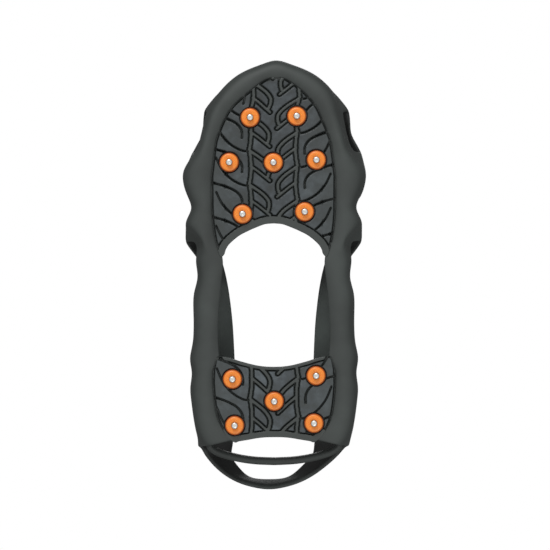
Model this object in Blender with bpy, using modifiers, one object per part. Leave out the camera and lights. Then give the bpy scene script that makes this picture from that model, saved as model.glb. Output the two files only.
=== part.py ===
"""Slip-on rubber ice cleat with twelve steel studs, built as separate parts.

Frame: sole down, stud tips at z = 0, toe at -Y, heel at +Y, +X to the wearer's side.
Every length below is in millimetres and is turned to metres by MM when a mesh is made.
"""
import math

import bmesh
import bpy
from mathutils import Vector

MM = 0.001
GAP = 0.3  # clearance between touching parts
SEAM = 0.5  # clearance along a seam in the rubber wall

# heights of the sole, from the stud tips up
TREAD_FACE = 4.2
GROOVE_BASE = 6.2
POCKET_ROOF = 5.8
RECESS_FLOOR = 7.9
BED_TOP = 10.0

# stud: hardened pin, moulded collar, steel backing washer
TIP_R = 1.1
PIN_R = 1.7
PIN_HEAD_R = 3.2
COLLAR_R = 5.2
COLLAR_NECK_R = 3.0
COLLAR_FACE = 3.0
COLLAR_BACK = 5.4
WASHER_R = 5.5
WASHER_T = 0.8
POCKET_R = 6.2

WALL_T = 3.0  # rubber wall
STRAP_T = 3.4  # thicker heel straps

# The rubber wall is lofted through stations that run from the toe centre round to the
# heel centre. Each gives the tread edge (x, y), the widest point (x, y), the top rim
# (x, y, z), how far the upper lip has leaned from the widest point to the rim, and how
# far the lower lip is drawn in from the widest point, as it is under a window.
STATIONS = [
    ((0, -112.5), (0, -123.2), (0, -88, 38), 0.10, 0.3),
    ((6, -111), (8.6, -121.6), (7.5, -88, 38), 0.05, 0.5),
    ((15, -104.5), (22, -116.2), (17, -86, 38), 0.00, 1.2),
    ((22, -98), (33.2, -106), (25, -81, 38), 0.10, 1.2),
    ((26.5, -91.5), (42.2, -94), (30, -75, 38), 0.00, 2.2),
    ((32, -78.5), (43.6, -82.5), (35, -64, 38), 0.10, 0.6),
    ((33.5, -71), (49.6, -71), (37, -57, 38.5), 0.00, 2.4),
    ((35.3, -56), (53, -58.5), (38, -48, 39), 0.25, 0.3),
    ((35.3, -46), (51.6, -47.5), (38, -40, 39), 0.25, 0.4),
    ((35.2, -38), (47.3, -38), (37.5, -33, 39.5), 0.15, 0.6),
    ((34.6, -29), (51.6, -28.5), (36.5, -26, 40), 0.15, 0.4),
    ((33, -19), (52, -18.5), (34.5, -18, 40), 0.00, 4.5),
    ((29.3, -8), (44.6, -7.5), (30.5, -7, 40.5), 0.15, 0.8),
    ((30.2, 2), (44.2, 1.5), (27.8, 4, 41), 0.15, 0.8),
    ((31.2, 11), (46.6, 12), (26.2, 14, 41.5), 0.30, 0.5),
    ((32.2, 24), (46.2, 26), (25, 28, 43), 0.45, 0.3),
    ((32.4, 38), (46.6, 38.5), (24.2, 42, 44.5), 0.45, 0.3),
    ((33.2, 48), (48.6, 48), (23.7, 52, 46), 0.45, 0.3),
    ((34.7, 55), (47.2, 56.5), (23.5, 60, 47), 0.45, 0.3),
    ((34.9, 62), (48.4, 65), (23.6, 68, 48.5), 0.50, 0.3),
    ((34, 72.5), (47.6, 74), (23.9, 80, 51), 0.45, 0.3),
    ((32.2, 82), (46.2, 84.5), (24.2, 91, 54), 0.35, 0.3),
    ((28, 91), (44.8, 93.5), (24.6, 99.5, 56.5), 0.18, 0.3),
    ((23, 95), (43.6, 102.3), (24.2, 107.3, 58), 0.08, 0.3),
    ((16, 94.5), (34, 113.5), (19, 114.2, 59.5), 0.05, 0.3),
    ((8, 94), (18.6, 122.8), (10.4, 121.3, 60.5), 0.05, 0.3),
    ((0, 93), (0, 127), (0, 123, 61), 0.05, 0.3),
]
LAST = len(STATIONS) - 1
RAIL_EDGE_Z = 6.2
RAIL_LOW_Z = 4.7
RAIL_OUT_Z = 6.6
LIP_Z = 14.0
UPPER_LIP_DROP = (10.0, 14.0)  # rim to upper lip, at the toe and at the heel
QUARTER_END = 22.8  # where the heel straps leave the wall
# rows up the wall: top of the rail, start of the wall above it, top of the toe struts
RAIL_TOP = 3.4
WALL_LOW = 3.46
STRUT_TOP = 4.95
RIM_ROW = 6
# the soft upper wall lies a little to one side over the forefoot, to the other at the heel
TOE_LEAN = 2.0
HEEL_LEAN = -3.2

# lower heel strap: outside of the band (x, y), one half from the middle, and its heights
BAND = [(0, 109.8), (12, 109.2), (23, 107.4), (33, 104.6), (39.6, 101.2)]
BAND_LOW = 16.0
BAND_HIGH = 27.0

# places of the studs (x, y)
FOREFOOT_STUDS = [
    (-13.2, -89.5), (13.4, -90.2),
    (-25.2, -64), (0, -63.8), (24.5, -65.2),
    (-17.7, -34.5), (17.7, -35.7),
]
HEEL_STUDS = [(-23.8, 59.6), (23.9, 57.8), (0, 72.3), (-22.6, 86), (22.6, 84.9)]

# front and rear limits of the free opening under the arch, one half (x, y)
ARCH_FRONT = [(28.2, -11.5), (25, -17.8), (20, -22), (15, -24.7), (10, -26.9), (5, -28.7),
              (0, -29.2)]
HEEL_FRONT = [(0, 52.8), (5, 52.6), (10, 51.9), (15, 50.7), (20, 49.3), (28, 47)]
HEEL_REAR = [(23.6, 94.4), (20, 94.4), (15, 94), (10, 93.3), (5, 92.9), (0, 92.8)]

# tread: one set of groove lines, repeated along the sole; x is out from the middle
PITCH = 19.5
RIGHT_SHIFT = 8.8  # the right half of the pattern sits this much nearer the heel
GROOVE_W = 1.4
CENTRE_ARC = [(9.0, -13.3), (4.1, -8.7), (1.4, -5.5), (1.0, -1.8), (2.5, 2.2)]
BLOCK_LINE = [(11.0, -1.8), (6.6, 1.1), (1.9, 4.7)]
SIDE_ARC = [(34.5, 5.6), (30.0, 7.1), (24.6, 9.3), (20.2, 12.1), (18.0, 17.0)]
LONG_ARC = [(31.0, 14.0), (28.2, 17.8), (23.8, 22.0), (19.4, 23.8), (15.2, 25.0)]
SETS = [(CENTRE_ARC, 0, 4), (BLOCK_LINE, 0, 4), (SIDE_ARC, 0, 3), (LONG_ARC, 0, 3)]
SET_START = -95.6  # first repeat in the forefoot
HEEL_SET_START = 62.0

CENTRE_SHIFT = -1.6  # along Y: brings the whole part to the middle of the frame

# joint axes, all along X (y, z before the centring shift), and what each one carries
AXES = {
    "arch_flex_axis": (17.0, 5.5),
    "toe_strap_axis": (-47.8, 39.2),
    "heel_band_axis": (101.5, 15.5),
    "heel_strap_axis": (101.0, 41.0),
}

# colours, sRGB as linear values
RUBBER = (0.056, 0.061, 0.058)
TREAD_RUBBER = (0.070, 0.077, 0.084)
ORANGE = (0.87, 0.21, 0.020)
STEEL = (0.62, 0.62, 0.60)

SEGMENTS = 12
TURN = math.tau


def clear_scene():
    """Remove what a new Blender file starts with."""
    for item in list(bpy.data.objects):
        bpy.data.objects.remove(item, do_unlink=True)


def make_collection(name):
    group = bpy.data.collections.new(name)
    bpy.context.scene.collection.children.link(group)
    return group


def make_material(name, colour, roughness, metallic=0.0):
    material = bpy.data.materials.new(name)
    material.use_nodes = True
    shader = material.node_tree.nodes["Principled BSDF"]
    shader.inputs["Base Color"].default_value = (*colour, 1.0)
    shader.inputs["Roughness"].default_value = roughness
    shader.inputs["Metallic"].default_value = metallic
    return material


def add_object(name, mesh, group, material=None, origin=(0, 0, 0)):
    """Link a mesh made in world millimetres, with its origin moved to a joint axis."""
    obj = bpy.data.objects.new(name, mesh)
    group.objects.link(obj)
    obj.location = Vector(origin) * MM
    if material is not None:
        mesh.materials.append(make_material(name, *material))
    return obj


def catmull_rom(before, start, end, after, t):
    """Point on the smooth curve from start to end."""
    a = 2 * start
    b = (end - before) * t
    c = (2 * before - 5 * start + 4 * end - after) * t * t
    d = (3 * start - before - 3 * end + after) * t ** 3
    return 0.5 * (a + b + c + d)


def smooth_line(points, steps):
    """Points along a smooth curve through the given ones."""
    pts = [Vector(p) for p in points]
    pts = [2 * pts[0] - pts[1], *pts, 2 * pts[-1] - pts[-2]]
    line = []
    for i in range(1, len(pts) - 2):
        for k in range(steps):
            line.append(catmull_rom(pts[i - 1], pts[i], pts[i + 1], pts[i + 2], k / steps))
    line.append(pts[-2])
    return line


def station_rows(index):
    """The seven points, tread edge to top rim, of one station; mirrored past each end."""
    if index < 0:
        side, index = -1, -index
    else:
        side = 1
    if index > LAST:
        side, index = -side, 2 * LAST - index
    edge, wide, rim, lean, inset = STATIONS[index]
    edge, wide, top = Vector(edge), Vector(wide), Vector(rim[:2])
    edge = edge + (wide - edge).normalized() * SEAM
    drop = UPPER_LIP_DROP[0]
    heel = max(0.0, min(1.0, (index - 14) / 8))  # 0 at the arch, 1 at the heel
    drop += (UPPER_LIP_DROP[1] - UPPER_LIP_DROP[0]) * heel
    upper_z = rim[2] - drop
    upper = wide.lerp(top, lean)
    lip = wide + (edge - wide).normalized() * inset
    bulge = wide.lerp(upper, 0.08)
    rows = [
        (edge, RAIL_EDGE_Z),
        (edge.lerp(wide, 0.33), RAIL_LOW_Z),
        (edge.lerp(lip, 0.80), RAIL_OUT_Z),
        (lip, LIP_Z),
        (bulge, (LIP_Z + upper_z) / 2),
        (upper, upper_z),
        (top, rim[2]),
    ]
    return [Vector((side * p.x + sideways(p.y, z), p.y, z)) for p, z in rows]


def ease(value):
    value = max(0.0, min(1.0, value))
    return value * value * (3 - 2 * value)


def sideways(y, z):
    """How far the soft wall lies to the side at a place."""
    height = ease((z - 13) / 12)
    return height * (TOE_LEAN * ease((-20 - y) / 40) + HEEL_LEAN * ease((y - 92) / 30))


def across(rows, v):
    """Point at height parameter v, 0 at the tread edge and 6 at the rim."""
    i = min(int(v), len(rows) - 2)
    t = v - i
    before = rows[i - 1] if i > 0 else 2 * rows[0] - rows[1]
    after = rows[i + 2] if i + 2 < len(rows) else 2 * rows[-1] - rows[-2]
    return catmull_rom(before, rows[i], rows[i + 1], after, t)


def wall_point(u, v):
    """Point on the outside of the rubber wall; u counts stations from the toe centre."""
    i = math.floor(u)
    near = [across(station_rows(k), v) for k in (i - 1, i, i + 1, i + 2)]
    return catmull_rom(*near, u - i)


def spread(low, high, step, seam=(True, True), along_u=True, at=0.0):
    """Values from low to high, pulled in by half a seam at the ends that have one."""
    count = max(1, round((high - low) / step))
    values = [low + (high - low) * k / count for k in range(count + 1)]
    for end, inward, wanted in ((0, 1, seam[0]), (-1, -1, seam[1])):
        if not wanted:
            continue
        here = values[end]
        probe = 0.05
        if along_u:
            size = (wall_point(here + probe, at) - wall_point(here - probe, at)).length
        else:
            size = (wall_point(at, min(here + probe, 6)) - wall_point(at, here - probe)).length
        values[end] = here + inward * SEAM / 2 * 2 * probe / max(size, 1e-6)
    return values


def wall_normal(u, v):
    """Outward direction of the wall, from the surface's own slopes."""
    step = 0.02
    along = wall_point(u + step, v) - wall_point(u - step, v)
    up = wall_point(u, v + step) - wall_point(u, v - step)
    return along.cross(up).normalized()


def wall_mesh(name, us, vs, thickness, keep):
    """Closed piece of the wall: its outside, its foot side and the edges between."""
    bm = bmesh.new()
    quads = []
    for i in range(len(us) - 1):
        for j in range(len(vs) - 1):
            if keep is None or keep((us[i] + us[i + 1]) / 2, (vs[j] + vs[j + 1]) / 2):
                quads.append(((i, j), (i + 1, j), (i + 1, j + 1), (i, j + 1)))
    outer, inner = {}, {}
    for spot in sorted({spot for quad in quads for spot in quad}):
        u, v = us[spot[0]], vs[spot[1]]
        point = wall_point(u, v)
        outer[spot] = bm.verts.new(point * MM)
        inner[spot] = bm.verts.new((point - wall_normal(u, v) * thickness) * MM)
    sides = set()
    for quad in quads:
        bm.faces.new([outer[spot] for spot in quad])
        bm.faces.new([inner[spot] for spot in reversed(quad)])
        sides.update(zip(quad, (*quad[1:], quad[0])))
    for first, second in sorted(sides):
        if (second, first) not in sides:
            bm.faces.new((outer[second], outer[first], inner[first], inner[second]))
    mesh = bpy.data.meshes.new(name)
    bm.to_mesh(mesh)
    bm.free()
    mesh.shade_smooth()
    mesh.set_sharp_from_angle(angle=math.radians(50))
    return mesh


def add_wall(name, us, vs, group, keep=None, thickness=WALL_T):
    """A piece of the rubber wall, thickened towards the foot."""
    mesh = wall_mesh(name, us, vs, thickness, keep)
    return add_object(name, mesh, group, (RUBBER, 0.62))


def plate_mesh(name, outline, low, high):
    """Flat plate from a closed outline, as a filled 2D curve made a welded mesh."""
    curve = bpy.data.curves.new(name, "CURVE")
    curve.dimensions = "2D"
    curve.fill_mode = "BOTH"
    curve.extrude = (high - low) / 2 * MM
    spline = curve.splines.new("POLY")
    spline.points.add(len(outline) - 1)
    for point, (x, y) in zip(spline.points, outline):
        point.co = (x * MM, y * MM, 0, 1)
    spline.use_cyclic_u = True
    guide = bpy.data.objects.new(name + "_outline", curve)
    bpy.context.scene.collection.objects.link(guide)
    bpy.context.view_layer.update()
    ready = guide.evaluated_get(bpy.context.evaluated_depsgraph_get())
    mesh = bpy.data.meshes.new_from_object(ready)
    bpy.data.objects.remove(guide, do_unlink=True)
    bm = bmesh.new()
    bm.from_mesh(mesh)
    bmesh.ops.remove_doubles(bm, verts=bm.verts, dist=0.00001)
    bmesh.ops.translate(bm, verts=bm.verts, vec=(0, 0, (low + high) / 2 * MM))
    bmesh.ops.recalc_face_normals(bm, faces=bm.faces)
    bm.to_mesh(mesh)
    bm.free()
    mesh.materials.clear()
    return mesh


def turned(name, profile, group, place, material=None, segments=SEGMENTS):
    """Round piece: a profile (radius, height) run top to bottom, spun by a Screw."""
    mesh = bpy.data.meshes.new(name)
    verts = [(r * MM, 0, z * MM) for r, z in profile]
    closed = profile[0][0] > 0
    edges = [(i, i + 1) for i in range(len(verts) - 1)]
    if closed:
        edges.append((len(verts) - 1, 0))
    mesh.from_pydata(verts, edges, [])
    obj = add_object(name, mesh, group, material, (*place, 0))
    screw = obj.modifiers.new("turn", "SCREW")
    screw.angle = TURN
    screw.steps = screw.render_steps = segments
    screw.use_merge_vertices = True
    screw.merge_threshold = 0.00001
    screw.use_smooth_shade = False
    return obj


def hide_guide(obj):
    obj.hide_render = True
    obj.display_type = "WIRE"


def cut(obj, cutter):
    bool_mod = obj.modifiers.new("cut", "BOOLEAN")
    bool_mod.operation = "DIFFERENCE"
    bool_mod.object = cutter
    bool_mod.solver = "EXACT"


def groove_ribbon(bm, line, width, low, high):
    """Upright ribbon with square ends along a line of (x, y) points."""
    rails = []
    for i, point in enumerate(line):
        ahead = line[min(i + 1, len(line) - 1)]
        behind = line[max(i - 1, 0)]
        along = (ahead - behind).normalized()
        side = Vector((-along.y, along.x)) * width / 2
        rails.append((point + side, point - side))
    rings = []
    for left, right in rails:
        corners = [(left, low), (right, low), (right, high), (left, high)]
        rings.append([bm.verts.new((p.x * MM, p.y * MM, z * MM)) for p, z in corners])
    for first, second in zip(rings, rings[1:]):
        for k in range(4):
            bm.faces.new((first[k], first[k - 1], second[k - 1], second[k]))
    bm.faces.new(rings[0])
    bm.faces.new(reversed(rings[-1]))


def inside(point, low_y, high_y, half_width):
    return low_y < point.y < high_y and abs(point.x) < half_width(point.y)


def groove_cutter(name, start, first, last, limits, half_width, studs, group):
    """All the grooves of one sole, as one hidden cutter made of separate ribbons."""
    bm = bmesh.new()
    for side, shift in ((-1, 0.0), (1, RIGHT_SHIFT)):
        for motif, lowest, highest in SETS:
            for k in range(first + lowest, last + highest + 1):
                offset = start + shift + k * PITCH
                line = [Vector((side * x, y + offset)) for x, y in motif]
                free = [p for p in line if inside(p, *limits, half_width)
                        and all((p - Vector(s)).length > POCKET_R + 1.2 for s in studs)]
                if len(free) >= 3 and free == line[line.index(free[0]):][:len(free)]:
                    groove_ribbon(bm, free, GROOVE_W, TREAD_FACE - 1, GROOVE_BASE)
    bmesh.ops.recalc_face_normals(bm, faces=bm.faces)
    mesh = bpy.data.meshes.new(name)
    bm.to_mesh(mesh)
    bm.free()
    obj = add_object(name, mesh, group)
    hide_guide(obj)
    return obj


def stud_cutter(name, place, group):
    """Pocket, neck bore and washer recess for one stud, as one turned cutter."""
    profile = [
        (0, BED_TOP + 1), (WASHER_R + GAP, BED_TOP + 1), (WASHER_R + GAP, RECESS_FLOOR),
        (COLLAR_NECK_R + GAP, RECESS_FLOOR), (COLLAR_NECK_R + GAP, POCKET_ROOF),
        (POCKET_R, POCKET_ROOF), (POCKET_R, TREAD_FACE - 1), (0, TREAD_FACE - 1),
    ]
    obj = turned(name, profile, group, place, segments=16)
    hide_guide(obj)
    return obj


def tread_half_width(y):
    """Half width of the tread at a place along the sole, from the wall's stations."""
    edges = [station[0] for station in STATIONS]
    for (x0, y0), (x1, y1) in zip(edges, edges[1:]):
        if y0 <= y <= y1:
            return x0 + (x1 - x0) * (y - y0) / (y1 - y0) - 1.5
    return 0.0


def edge_line(low, high, step):
    """Plan points of the tread edge from one station to another."""
    count = round((high - low) / step)
    line = []
    for k in range(count + 1):
        u = low + (high - low) * k / count
        i = math.floor(u)
        near = []
        for n in (i - 1, i, i + 1, i + 2):
            x, y = STATIONS[min(abs(n), LAST)][0]
            near.append(Vector((-x if n < 0 else x, y)))
        line.append(catmull_rom(*near, u - i))
    return line


def both_sides(half):
    """Close a half outline (x >= 0, from the middle round to the middle) by mirroring."""
    mirrored = [Vector((-p.x, p.y)) for p in reversed(half) if p.x > 0.01]
    return [*half, *mirrored]


def make_soles(group, cutters):
    arch = smooth_line(ARCH_FRONT, 2)
    front = both_sides([*edge_line(0, 11.6, 0.58), *arch])
    sole = add_object(
        "forefoot_sole", plate_mesh("forefoot_sole", front, TREAD_FACE, BED_TOP), group,
        (TREAD_RUBBER, 0.55),
    )
    for n, place in enumerate(FOREFOOT_STUDS):
        cut(sole, stud_cutter(f"forefoot_stud_cutter_{n + 1}", place, cutters))
    cut(sole, groove_cutter(
        "forefoot_groove_cutter", SET_START, -1, 0, (-109, -31), tread_half_width,
        FOREFOOT_STUDS, cutters))

    side = edge_line(17, 22, 0.5)
    rear = both_sides([*smooth_line(HEEL_FRONT, 2), *side, *smooth_line(HEEL_REAR, 2)])
    heel = add_object(
        "heel_sole", plate_mesh("heel_sole", rear, TREAD_FACE, BED_TOP), group,
        (TREAD_RUBBER, 0.55),
    )
    for n, place in enumerate(HEEL_STUDS):
        cut(heel, stud_cutter(f"heel_stud_cutter_{n + 1}", place, cutters))
    cut(heel, groove_cutter(
        "heel_groove_cutter", HEEL_SET_START, -1, -2, (54, 91), tread_half_width,
        HEEL_STUDS, cutters))


def make_studs(group):
    for n, place in enumerate([*FOREFOOT_STUDS, *HEEL_STUDS]):
        pin = [
            (0, BED_TOP - 0.1), (PIN_HEAD_R, BED_TOP - 0.1), (PIN_HEAD_R, BED_TOP - 0.7),
            (PIN_R, BED_TOP - 0.7), (PIN_R, COLLAR_FACE), (PIN_R - 0.2, COLLAR_FACE - 0.6),
            (TIP_R, 0), (0, 0),
        ]
        turned(f"stud_pin_{n + 1:02d}", pin, group, place, (STEEL, 0.3, 1.0))
        bore = PIN_R + GAP
        neck_top = RECESS_FLOOR - 0.2
        collar = [
            (bore, neck_top), (COLLAR_NECK_R, neck_top), (COLLAR_NECK_R, COLLAR_BACK),
            (COLLAR_R, COLLAR_BACK), (COLLAR_R, COLLAR_FACE + 0.7),
            (COLLAR_R - 0.7, COLLAR_FACE), (bore + 0.7, COLLAR_FACE), (bore, COLLAR_FACE + 0.5),
        ]
        turned(f"stud_collar_{n + 1:02d}", collar, group, place, (ORANGE, 0.4))
        low = RECESS_FLOOR + GAP
        washer = [
            (bore + 0.1, low + WASHER_T), (WASHER_R, low + WASHER_T), (WASHER_R, low),
            (bore + 0.1, low),
        ]
        turned(f"stud_washer_{n + 1:02d}", washer, group, place, (STEEL, 0.35, 1.0))


def sided(name, us, side):
    """Name and parameters of a wall piece on one side: the right one, or its mirror."""
    if side > 0:
        return name + "_right", us
    return name + "_left", [-u for u in reversed(us)]


def front_wall_kept(u, v):
    """The wall round the second side window, below the toe strap's root."""
    u = abs(u)
    if u < 7.0:
        return v < 5
    if u < 8.0 or u > 10.0:
        return True
    return v > 5


def arch_wall_kept(u, v):
    """The strut half way along the arch and the rim above it."""
    u = abs(u)
    return v > 5 or 14.0 < u < 17.0


def make_walls(group):
    rail = spread(0, RAIL_TOP, 0.57, (False, False), False, 1)
    add_wall("toe_bumper", spread(-4, 4, 0.5), rail, group)
    strut = spread(RAIL_TOP, STRUT_TOP, 0.78, (True, True), False, 1)
    add_wall("toe_strut", spread(-1, 1, 0.5, (False, False)), strut, group)
    for side in (-1, 1):
        name, us = sided("forefoot_rail", spread(4, 11, 0.5), side)
        add_wall(name, us, rail, group)
        name, us = sided("front_strut", spread(2.9, 4.1, 0.6, (False, False)), side)
        add_wall(name, us, strut, group)
        name, us = sided("forefoot_wall", spread(6, 11, 0.5, (False, True)), side)
        add_wall(name, us, spread(WALL_LOW, RIM_ROW, 0.51, (True, False), False, 7), group,
                 front_wall_kept)
        name, us = sided("arch_rail", spread(11, 17, 0.5), side)
        add_wall(name, us, rail, group)
        name, us = sided("arch_wall", spread(11, 17, 0.5), side)
        add_wall(name, us, spread(WALL_LOW, RIM_ROW, 0.51, (True, False), False, 12), group,
                 arch_wall_kept)
        name, us = sided("heel_quarter", spread(17, QUARTER_END, 0.58), side)
        add_wall(name, us, spread(0, RIM_ROW, 0.5, (False, False), False, 20), group)


def band_mesh(name):
    """Upright band round the back of the heel, closed at both ends."""
    half = smooth_line(BAND, 3)
    outside = [*[Vector((-p.x, p.y)) for p in reversed(half[1:])], *half]
    bm = bmesh.new()
    rings = []
    for i, point in enumerate(outside):
        ahead = outside[min(i + 1, len(outside) - 1)]
        along = (ahead - outside[max(i - 1, 0)]).normalized()
        back = Vector((along.y, -along.x)) * STRAP_T
        corners = [(point, BAND_LOW), (point, BAND_HIGH)]
        corners += [(point + back, BAND_HIGH), (point + back, BAND_LOW)]
        rings.append([bm.verts.new((p.x * MM, p.y * MM, z * MM)) for p, z in corners])
    for first, second in zip(rings, rings[1:]):
        for k in range(4):
            bm.faces.new((first[k], first[k - 1], second[k - 1], second[k]))
    bm.faces.new(rings[0])
    bm.faces.new(reversed(rings[-1]))
    bmesh.ops.recalc_face_normals(bm, faces=bm.faces)
    mesh = bpy.data.meshes.new(name)
    bm.to_mesh(mesh)
    bm.free()
    return mesh


def make_straps(group):
    add_wall("toe_strap", spread(-7, 7, 0.5), spread(5, 6, 0.5, (True, False), False, 2),
             group)
    add_object("heel_band", band_mesh("heel_band"), group, (RUBBER, 0.62))
    rear = spread(QUARTER_END, 2 * LAST - QUARTER_END, 0.4)
    add_wall("heel_strap", rear, spread(5, 6, 0.5, (False, False), False, 24), group,
             thickness=STRAP_T)


def axis_of(name):
    """The joint's axis that carries a part; None for what is fixed to the heel."""
    if name in ("toe_strap", "heel_band", "heel_strap"):
        return name + "_axis"
    front = ("forefoot", "toe_", "front_strut")
    if name.startswith(front):
        return "arch_flex_axis"
    if name.startswith("stud") and int(name[-2:]) <= len(FOREFOOT_STUDS):
        return "arch_flex_axis"
    return None


def hang_on_axes(group):
    """Parent each moving part to an empty on its joint's axis, and centre the whole."""
    empties = {}
    for name, (y, z) in AXES.items():
        empty = bpy.data.objects.new(name, None)
        empty.empty_display_size = 0.02
        group.objects.link(empty)
        empty.location = (0, y * MM, z * MM)
        empties[name] = empty
    for obj in list(group.objects):
        axis = axis_of(obj.name)
        if obj.type == "MESH" and axis:
            obj.parent = empties[axis]
            obj.location -= empties[axis].location
    strap, arch = empties["toe_strap_axis"], empties["arch_flex_axis"]
    strap.parent = arch
    strap.location -= arch.location
    for obj in bpy.data.objects:
        if obj.parent is None:
            obj.location.y += CENTRE_SHIFT * MM


def main():
    clear_scene()
    group = make_collection("microspikes")
    cutters = make_collection("cutters")
    make_soles(group, cutters)
    make_studs(group)
    make_walls(group)
    make_straps(group)
    hang_on_axes(group)


main()
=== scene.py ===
"""Visual model of a slip-on rubber ice cleat.

It is laid out as a Blender add-on and run as a script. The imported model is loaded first
and gives every body, joint and place. Lengths here are in millimetres until a mesh is made.
"""
import functools
import math

import bmesh
import bpy
import numpy as np
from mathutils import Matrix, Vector


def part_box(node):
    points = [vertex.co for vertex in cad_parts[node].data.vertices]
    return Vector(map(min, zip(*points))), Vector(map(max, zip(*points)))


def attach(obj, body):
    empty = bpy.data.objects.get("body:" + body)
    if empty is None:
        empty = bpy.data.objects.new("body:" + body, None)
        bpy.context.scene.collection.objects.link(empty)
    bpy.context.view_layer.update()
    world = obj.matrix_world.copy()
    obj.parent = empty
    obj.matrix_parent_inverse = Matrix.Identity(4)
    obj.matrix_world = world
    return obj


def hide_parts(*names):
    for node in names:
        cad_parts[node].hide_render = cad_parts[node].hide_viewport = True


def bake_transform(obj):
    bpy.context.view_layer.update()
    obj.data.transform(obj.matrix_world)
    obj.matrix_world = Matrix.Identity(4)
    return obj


bl_info = {
    "name": "Slip-on ice cleat",
    "version": (1, 0, 0),
    "blender": (4, 5, 0),
    "location": "View3D > Sidebar > Ice cleat",
    "description": "Builds a stretch rubber ice cleat with studs round a packed frame",
    "category": "Add Mesh",
}

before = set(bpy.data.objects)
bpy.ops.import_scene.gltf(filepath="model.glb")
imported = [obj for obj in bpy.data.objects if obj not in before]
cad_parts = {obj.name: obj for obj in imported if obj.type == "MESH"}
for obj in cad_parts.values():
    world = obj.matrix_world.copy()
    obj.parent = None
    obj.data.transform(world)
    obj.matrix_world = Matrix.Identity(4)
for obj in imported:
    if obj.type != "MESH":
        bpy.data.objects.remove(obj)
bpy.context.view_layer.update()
MM = 0.001


def box_mm(node):
    """Lowest and highest corner of a node of the frame, in millimetres."""
    low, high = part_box(node)
    return Vector(low) / MM, Vector(high) / MM


def middle_mm(node):
    """Middle of a node's box, in millimetres."""
    low, high = box_mm(node)
    return (low + high) / 2


STUD_NUMBERS = range(1, 13)
FOREFOOT_STUDS = 7
CENTRE_STUD = 4
STUD_PLACES = [middle_mm(f"stud_pin_{n:02d}") for n in STUD_NUMBERS]

# heights and radii, from the frame where it holds them
TREAD_FACE, BED_TOP = [corner.z for corner in box_mm("forefoot_sole")]
WASHER_BOX = box_mm("stud_washer_01")
WASHER_LOW, WASHER_TOP = [corner.z for corner in WASHER_BOX]
WASHER_R = (WASHER_BOX[1] - WASHER_BOX[0]).x / 2
COLLAR_BOX = box_mm("stud_collar_01")
COLLAR_R = (COLLAR_BOX[1] - COLLAR_BOX[0]).x / 2
COLLAR_FACE = COLLAR_BOX[0].z
COLLAR_BACK = COLLAR_FACE + 2.4
POCKET_ROOF = COLLAR_BACK + 0.4
RECESS_FLOOR = WASHER_LOW - 0.3
SPLIT_Z = RECESS_FLOOR + 0.1  # where the tread plate meets the foot bed

# the wall's stations are given about the stud row, whose middle stud stands at this y
CENTRE_STUD_Y = -63.8
SHIFT = STUD_PLACES[CENTRE_STUD - 1].y - CENTRE_STUD_Y

# Stations of the rubber wall from the toe centre round to the heel centre: tread edge
# (x, y), widest point (x, y), top rim (x, y, z), lean of the upper lip, inset of the lower.
STATIONS = [
    ((0, -112.5), (0, -123.2), (0, -88, 38), 0.10, 0.3),
    ((6, -111), (7.8, -121.3), (7.5, -88, 38), 0.05, 0.5),
    ((15, -104.5), (22, -116.2), (17, -86, 38), 0.00, 1.2),
    ((22, -98), (33.2, -106), (25, -81, 38), 0.10, 1.2),
    ((26.5, -91.5), (43.1, -94), (30, -75, 38), 0.00, 5.0),
    ((32, -78.5), (43.6, -82.5), (35, -64, 38), 0.03, 2.6),
    ((33.5, -71), (49.6, -71), (37, -57, 38.5), 0.00, 5.6),
    ((35.3, -56), (52.7, -59.5), (38, -48, 39), 0.22, 0.3),
    ((35.3, -46), (51, -47.5), (38, -40, 39), 0.25, 0.4),
    ((35.2, -38), (47.3, -38), (37.5, -33, 39.5), 0.15, 0.6),
    ((34.6, -29), (51.6, -28.5), (36.5, -26, 40), 0.15, 0.4),
    ((33, -19), (52, -18.5), (34.5, -18, 40), 0.00, 9.5),
    ((29.3, -8), (45.6, -8.3), (30.5, -7, 40.5), 0.10, 0.8),
    ((30.2, 2), (44.2, 1.5), (27.8, 4, 41), 0.15, 0.8),
    ((31.2, 11), (46.6, 12), (26.2, 14, 41.5), 0.30, 0.5),
    ((32.2, 24), (46.2, 26), (25, 28, 43), 0.45, 0.3),
    ((32.4, 38), (46.6, 38.5), (24.2, 42, 44.5), 0.45, 0.3),
    ((33.2, 48), (48.6, 48), (23.7, 52, 46), 0.45, 0.3),
    ((34.7, 55), (47.2, 56.5), (23.5, 60, 47), 0.45, 0.3),
    ((34.9, 62), (48.4, 65), (23.6, 68, 48.5), 0.50, 0.3),
    ((34, 72.5), (47.6, 74), (23.9, 80, 51), 0.45, 0.3),
    ((32.2, 82), (46.2, 84.5), (24.2, 91, 54), 0.35, 0.3),
    ((28, 91), (45.6, 93.8), (24.6, 99.5, 56.5), 0.18, 0.3),
    ((23, 95), (44.5, 102.3), (24.2, 107.3, 58), 0.08, 0.3),
    ((16, 94.5), (34, 113.5), (19.3, 114.4, 59.5), 0.05, 0.3),
    ((8, 94), (19.6, 122.8), (11.2, 122.3, 60.5), 0.05, 0.3),
    ((0, 93), (0, 127), (0, 123, 61), 0.05, 0.3),
]
LAST = len(STATIONS) - 1
RAIL_END = {22: 0.1, 23: 0.26, 24: 0.28}  # station: share that the rail is narrower by
QUARTER_END = 22.8  # station where the wall below the heel strap ends
FREE_EDGE = range(12, 17)  # stations beside the open arch, where no sole meets the rail
FREE_TUCK = (0.5, 0.9)  # how far in and up the hidden edge of the rail goes
SOLE_TUCK = (2.5, 0.5)
RAIL_EDGE_Z = 6.2
FLUSH = (0, 12, 17, 22, 23)  # stations where the rail runs level into the sole
FLUSH_Z = 5.0
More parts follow.
